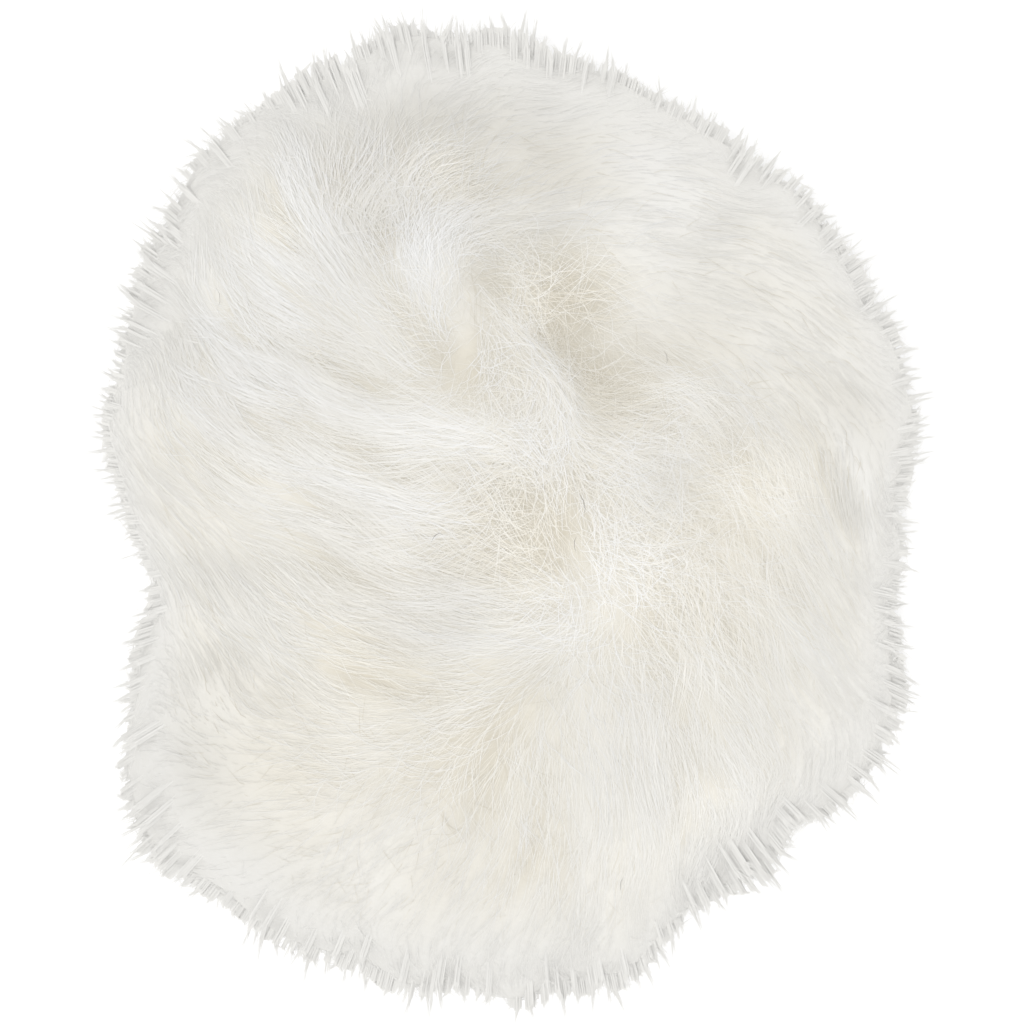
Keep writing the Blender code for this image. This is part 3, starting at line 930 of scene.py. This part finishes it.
def bed_material():
    """Cream bed of dense fibre, darker in the partings partly as painted shade, and painted lighter
    or darker by its light.
    """
    material, tree, shader = new_material("cream_bed", roughness=0.9)
    place = new_node(tree, "TexCoord", {}).outputs["Object"]
    noise = new_node(tree, "TexNoise", {"Vector": place, "Scale": FLECK_SCALE, "Detail": 4.0})
    fleck = ramp_color(tree, noise.outputs["Fac"], FLECK_SHADES)
    color = fibre_color(tree, read_attribute(tree, "tone"), read_attribute(tree, "light"))
    inputs = {"Factor": 1.0, "A": color, "B": fleck}
    mix = new_node(tree, "Mix", inputs, data_type="RGBA", blend_type="MULTIPLY")
    tree.links.new(mix.outputs["Result"], shader.inputs["Base Color"])
    bump = new_node(tree, "Bump", {"Height": noise.outputs["Fac"], "Distance": FLECK_RISE})
    tree.links.new(bump.outputs["Normal"], shader.inputs["Normal"])
    return material


# ---------------- pieces

BED_DIVISIONS = 6  # times that the bed's sphere is divided
BED_PROBE, BED_PROBE_STEPS = 5.0 * MM, 5  # how far it looks along the pile each way
BED_LIFT = 0.6  # how much of the locks' height it takes up
BED_TONE = 0.08  # shade of the bed between the locks, dark partly as painted shade
BED_CALM_TONE, BED_LOCK_TONE = 0.42, 0.25  # and how much whiter it is under calm pile and locks
BED_LIGHT, BED_LOCK_LIGHT, BED_RIM_LIGHT = 0.88, 0.06, 0.755  # the same for its brightness: painted darker as the hairs' shade, paler under locks, darker at the rim
BED_PAINTED_LIGHT = 0.5  # how much of the painted light patches' brightening it takes


def bed_value(rays):
    """How the pile lies over the bed, from -1 in a deep parting to 1 under a lock."""
    still = np.zeros(len(rays))
    reach = np.full(len(rays), BED_PROBE)
    behind = trace(rays, -reach, still, BED_PROBE_STEPS)[:, ::-1]
    ahead = trace(rays, reach, still, BED_PROBE_STEPS)
    return lock_value(np.concatenate([behind, ahead], axis=1))


def bed_points(rays, value, calm, rim):
    """Where the bed lies on each ray."""
    rise = np.maximum(CALM_RISE * calm, RIM_RISE * rim)
    depth = BED_DEPTH + rise - TANGLE_DROP * np.minimum(1.0, tangle_at(rays))
    depth += EDGE_RISE * band(EDGE_LEVELS, rays[:, 2])
    lift = BED_LIFT * LOCK_RISE * value
    points = HEART + rays * (reach_at(rays) * depth + lift)[:, None]
    points[:, 2] = np.maximum(points[:, 2], BALL_LOW[2])
    return points


def bed_tones(rays, value, calm, rim):
    """Shade and painted light of the bed on each ray, both from 0 to 1."""
    painted_light, tint_and_painted_shade = painted_light_at(rays)
    shade = BED_TONE + BED_CALM_TONE * calm + BED_LOCK_TONE * value + tint_and_painted_shade
    shade = np.clip(shade * (1.0 - rim) + RIM_SHADE * rim, 0.0, WHITEST)
    # Painted light: the bed darker than the hairs and at the rim as painted shade, paler under
    # locks, on the underside and in the painted light patches
    light = BED_LIGHT + (CALM_BED_LIGHT - BED_LIGHT) * calm + BED_LOCK_LIGHT * value
    light += np.minimum(painted_light, BED_PAINTED_LIGHT * painted_light)
    light = light * (1.0 - rim) + BED_RIM_LIGHT * rim + UNDER_LIGHT * under_at(rays)
    return shade, on_map(light)


def make_bed():
    """The dense bed under the locks, as one closed body."""
    bed = bmesh.new()
    bmesh.ops.create_icosphere(bed, subdivisions=BED_DIVISIONS, radius=1.0)
    rays = unit(np.array([vert.co for vert in bed.verts]))
    pile = bed_value(rays), calm_at(rays), rim_at(rays)
    for vert, point in zip(bed.verts, bed_points(rays, *pile)):
        vert.co = point
    mesh = bpy.data.meshes.new("pile_bed")
    bed.to_mesh(mesh)
    bed.free()
    for name, values in zip(("tone", "light"), bed_tones(rays, *pile)):
        layer = mesh.attributes.new(name, "FLOAT", "POINT")
        layer.data.foreach_set("value", values.astype(np.float32))
    mesh.shade_smooth()
    mesh.normals_split_custom_set_from_vertices(lit_normal(rays).astype(np.float32))
    obj = placed("pile_bed", mesh)
    ride_on_ball(obj, bed_material())
    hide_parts("fur_ball")


def ride_on_ball(obj, material):
    """A piece of the pile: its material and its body."""
    obj.data.materials.append(material)
    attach(obj, "root")


def make_piles(material):
    """Every pile of hairs, each as one joined mesh."""
    draws = {CROSSING.name: tangled_roots, SIDE_HAIRS.name: side_roots}
    for order, pile in enumerate(PILES + (CROSSING, SIDE_HAIRS)):
        random = np.random.default_rng(SEED + 10 + order)
        draw = draws.get(pile.name, drawn_roots)
        points, shade, light, smooth = strand_paths(pile, draw(pile, random), random)
        obj = strand_mesh(pile.name, points, shade, light, smooth, pile.thickness_mm * MM)
        ride_on_ball(obj, material)


# Single dark hairs caught in the pile: x and y in mm of the start, the bend and the end of each
STRAYS = (
    (7.4, 2.1, 8.4, 1.0, 8.0, -0.6),
    (-9.0, -3.4, -8.3, -1.8, -7.6, -2.6),
    (7.2, -2.6, 6.6, -3.6, 7.2, -4.6),
    (12.6, -41.2, 12.0, -42.0, 12.4, -43.2),
    (17.0, 18.0, 17.6, 17.2, 17.2, 16.4),
    (-33.6, 25.6, -32.6, 24.2, -33.4, 23.0),
)
STRAY_REACH = 0.978  # how high they lie, as a share of the ball's reach
STRAY_POINTS, STRAY_THICKNESS, STRAY_TONES = 4, 0.09 * MM, (0.1, 0.9)
FIRST_HEIGHT, HEIGHT_STEPS = 60.0, 4  # mm that the search for their height starts at


def resting_height(plan):
    """Height in mm over the ball's heart at which a hair lies on the pile."""
    height = np.full(len(plan), FIRST_HEIGHT)
    for _ in range(HEIGHT_STEPS):
        reach = reach_at(unit(np.column_stack([plan, height]))) / MM * STRAY_REACH
        height = np.sqrt(np.maximum(reach ** 2 - np.sum(plan ** 2, axis=1), 1.0))
    return height


def make_strays():
    """The few dark hairs that lie in the white pile."""
    plans = [along_stroke(stray, STRAY_POINTS)[0] for stray in STRAYS]
    paths = [np.column_stack([plan, resting_height(plan)]) for plan in plans]
    points = HEART + np.array(paths) * MM
    shade = np.linspace(*STRAY_TONES, len(STRAYS))
    light, smooth = np.ones(len(STRAYS)), np.zeros(len(STRAYS))
    obj = strand_mesh("stray_hairs", points, shade, light, smooth, STRAY_THICKNESS)
    ride_on_ball(obj, stray_material())


# The bristling edge: hairs that run out over the rim and draw together into tufts
Fringe = namedtuple("Fringe", "name count thickness_mm gather stray_deg")
FRINGES = (
    Fringe("edge_tufts", 11500, 0.20, 0.95, 0.15),
    Fringe("edge_hairs", 1500, 0.12, 0.60, 0.8),
)
FRINGE_ROOT, FRINGE_SKIN = 0.90, 0.942  # where they start and come up, of the ball's reach
FRINGE_DROP_DEG = (8.0, 16.0)  # how far they come down from root to tip
TUFTS_ROUND = 560  # pointed tufts along the outline
TUFT_WIDTHS = (0.5, 1.5)  # their widths, as shares of the mean
TUFT_TIPS, TUFT_SHORT = (0.982, 1.046), 1.5  # how far they reach, more of them short than long
TUFT_NOTCH = 0.975  # how far the pile reaches between them
TUFT_CORE = 0.25  # share of a tuft's half-width that reaches its tip
TUFT_FILL = (0.6, 1.0)  # how far its single hairs reach, of the way to the tip
TUFT_CLOSE = (0.3, 1.0)  # how far they draw together, in the notch and in the tip
TIP_STRAY, TIP_STRAY_DEG = 0.002, 3.0  # how far a hair strays from its tuft, out and up
SKIN_ASIDE, SKIN_DROP = 0.02, 0.6  # how far aside a hair is where it comes up to the pile,
NOTCH_ASIDE, NOTCH_DROP = 0.05, 0.3  # and between the tufts, and how much drop is left there
TUFT_BEND_DEG = 0.8  # how far a tuft's tip swings aside
BEND_GRAIN, BEND_SEED = 7.0 * MM, 7  # length of the edge that swings the same way
BEND_STRAY = 0.7  # how much tufts differ from that
TIP_LEVEL_DEG = (0.0, 8.0, 13.0)  # how high tufts end over the girth: mean, spread, limit
EDGE_LIGHT, EDGE_VARIES = 0.91, 0.05  # painted shade: brightness of its hairs, grey like the rim's, and how much it varies
EDGE_SMOOTH = 0.92  # how evenly they take the light
EDGE_PAINTED_LIGHT = 0.15  # painted light: how much paler the lowest are, which the rest shade
EDGE_PAINTED_LIGHT_LEVELS = (0.04, -0.16)  # where that sets in, in girth radii


def lay_out_tufts():
    """Bearing, half-width, tip, sideways bend and tip level of every tuft round the girth."""
    random = np.random.default_rng(SEED + 29)
    width = random.uniform(*TUFT_WIDTHS, TUFTS_ROUND)
    width *= 2 * math.pi / np.sum(width)
    middle = np.cumsum(width) - 0.5 * width - math.pi
    tip = between(TUFT_TIPS, random.uniform(0.0, 1.0, TUFTS_ROUND) ** TUFT_SHORT)
    outline = ray_at(middle, np.zeros(TUFTS_ROUND)) * GIRTH_RADIUS
    bend = soft_noise(outline, BEND_GRAIN, BEND_SEED) + random.normal(0.0, BEND_STRAY, TUFTS_ROUND)
    mean, spread, limit = TIP_LEVEL_DEG
    level = np.radians(np.clip(random.normal(mean, spread, TUFTS_ROUND), -limit, limit))
    return middle, 0.5 * width, tip, np.radians(TUFT_BEND_DEG) * bend, level


def fringe_points(fringe, random):
    """Points along every hair of one kind of edge hair, root to tip."""
    middle, half_width, tip, bend, level = lay_out_tufts()
    count = fringe.count
    bearing = (np.arange(count) + random.uniform(0.0, 1.0, count)) / count * 2 * math.pi - math.pi
    mine = np.searchsorted(middle + half_width, bearing).clip(0, TUFTS_ROUND - 1)
    off = (bearing - middle[mine]) / half_width[mine]
    profile = np.clip((1.0 - np.abs(off)) / (1.0 - TUFT_CORE), 0.0, 1.0) ** 2
    profile *= random.uniform(*TUFT_FILL, count)
    end = between((TUFT_NOTCH, tip[mine]), profile) + random.normal(0.0, TIP_STRAY, count)
    close = fringe.gather * between(TUFT_CLOSE, profile)
    aside = bend[mine] * profile - off * half_width[mine] * close
    aside += np.radians(random.normal(0.0, fringe.stray_deg, count))
    low = level[mine] + np.radians(random.uniform(-TIP_STRAY_DEG, TIP_STRAY_DEG, count))
    drop = np.radians(random.uniform(*FRINGE_DROP_DEG, count))
    root = ray_at(bearing, low + drop)
    skin = ray_at(bearing + SKIN_ASIDE * aside, low + SKIN_DROP * drop)
    notch = ray_at(bearing + NOTCH_ASIDE * aside, low + NOTCH_DROP * drop)
    point = ray_at(bearing + aside, low)
    edge = reach_at(ray_at(bearing, low))
    low_reach = FRINGE_ROOT * reach_at(root), FRINGE_SKIN * reach_at(skin)
    reach = np.stack([*low_reach, TUFT_NOTCH * edge, end * edge], axis=1)
    return HEART + np.stack([root, skin, notch, point], axis=1) * reach[..., None]


def make_fringe(material):
    """Pointed tufts and single hairs that stand out past the pile all round the girth."""
    for order, fringe in enumerate(FRINGES):
        random = np.random.default_rng(SEED + 30 + order)
        points = fringe_points(fringe, random)
        shade = np.full(fringe.count, RIM_SHADE)
        # Painted light: the edge hairs grey like the rim as painted shade, the lowest paler against
        # the shade of the rest
        light = EDGE_LIGHT + random.uniform(-EDGE_VARIES, EDGE_VARIES, fringe.count)
        level = (points[:, -1, 2] - HEART[2]) / GIRTH_RADIUS
        light += EDGE_PAINTED_LIGHT * smooth_step(*EDGE_PAINTED_LIGHT_LEVELS, level)
        smooth = np.full(fringe.count, EDGE_SMOOTH)
        obj = strand_mesh(fringe.name, points, shade, light, smooth, fringe.thickness_mm * MM)
        ride_on_ball(obj, material)


# ---------------- stage

FLOOR_HALF, FLOOR_WHITE = 3.0, 0.96
TENT_LIGHT = 0.85  # the soft light all round, strongest near the table
TENT_TOP, TENT_TOP_FROM = 0.5, 0.75  # and its share overhead
KEY_PLACE, KEY_AIM = (-0.11, -0.095, 4.0), (0.0, 0.0, 0.04)
KEY_SIZE, KEY_WATTS = 0.40, 117.0
CAMERA_HEIGHT = 0.75
CAMERA_SHOWS = 0.1215  # width at the girth that fills the picture
SENSOR_MM = 36.0
VIEW_GAMMA = 2.0  # keeps white fur apart from the white floor
BOUNCES = 16  # light has to soak through many white hairs


def make_stage():
    """The pale floor that the ball lies on."""
    mesh = bpy.data.meshes.new("floor")
    grid = bmesh.new()
    bmesh.ops.create_grid(grid, x_segments=1, y_segments=1, size=FLOOR_HALF)
    grid.to_mesh(mesh)
    grid.free()
    floor = placed("floor", mesh)
    paint, _, shader = new_material("pale_floor", roughness=0.9)
    shader.inputs["Base Color"].default_value = (FLOOR_WHITE, FLOOR_WHITE, FLOOR_WHITE, 1)
    mesh.materials.append(paint)


def make_lights():
    """A soft tent of light all round, and one small high key light."""
    world = bpy.data.worlds.new("studio")
    world.use_nodes = True
    tree = world.node_tree
    place = new_node(tree, "TexCoord", {}).outputs["Generated"]
    height = new_node(tree, "SeparateXYZ", {"Vector": place}).outputs["Z"]
    stops = ((0.0, (1.0, 1.0, 1.0)), (TENT_TOP_FROM, (TENT_TOP,) * 3))
    tent = ramp_color(tree, height, stops)
    background = tree.nodes["Background"]
    tree.links.new(tent, background.inputs["Color"])
    background.inputs["Strength"].default_value = TENT_LIGHT
    bpy.context.scene.world = world
    key = bpy.data.lights.new("key", "AREA")
    key.energy = KEY_WATTS
    key.size = KEY_SIZE
    obj = placed("key", key)
    obj.location = KEY_PLACE
    aim = Vector(KEY_AIM) - obj.location
    obj.rotation_euler = aim.to_track_quat("-Z", "Y").to_euler()


def make_camera():
    """A camera straight above the ball, with a long lens."""
    camera = bpy.data.cameras.new("camera")
    camera.sensor_width = SENSOR_MM
    camera.lens = SENSOR_MM * (CAMERA_HEIGHT - HEART[2]) / CAMERA_SHOWS
    camera.clip_end = 20.0
    obj = placed("camera", camera)
    obj.location = (0.0, 0.0, CAMERA_HEIGHT)
    bpy.context.scene.camera = obj


def main():
    """The ball, its stage, and the view that it is rendered with."""
    make_bed()
    hair = hair_material()
    make_piles(hair)
    make_fringe(hair)
    make_strays()
    make_stage()
    make_lights()
    make_camera()
    scene = bpy.context.scene
    scene.view_settings.view_transform = "Standard"
    scene.view_settings.look = "None"
    scene.view_settings.gamma = VIEW_GAMMA
    scene.cycles.max_bounces = BOUNCES
    scene.cycles.diffuse_bounces = BOUNCES


main()
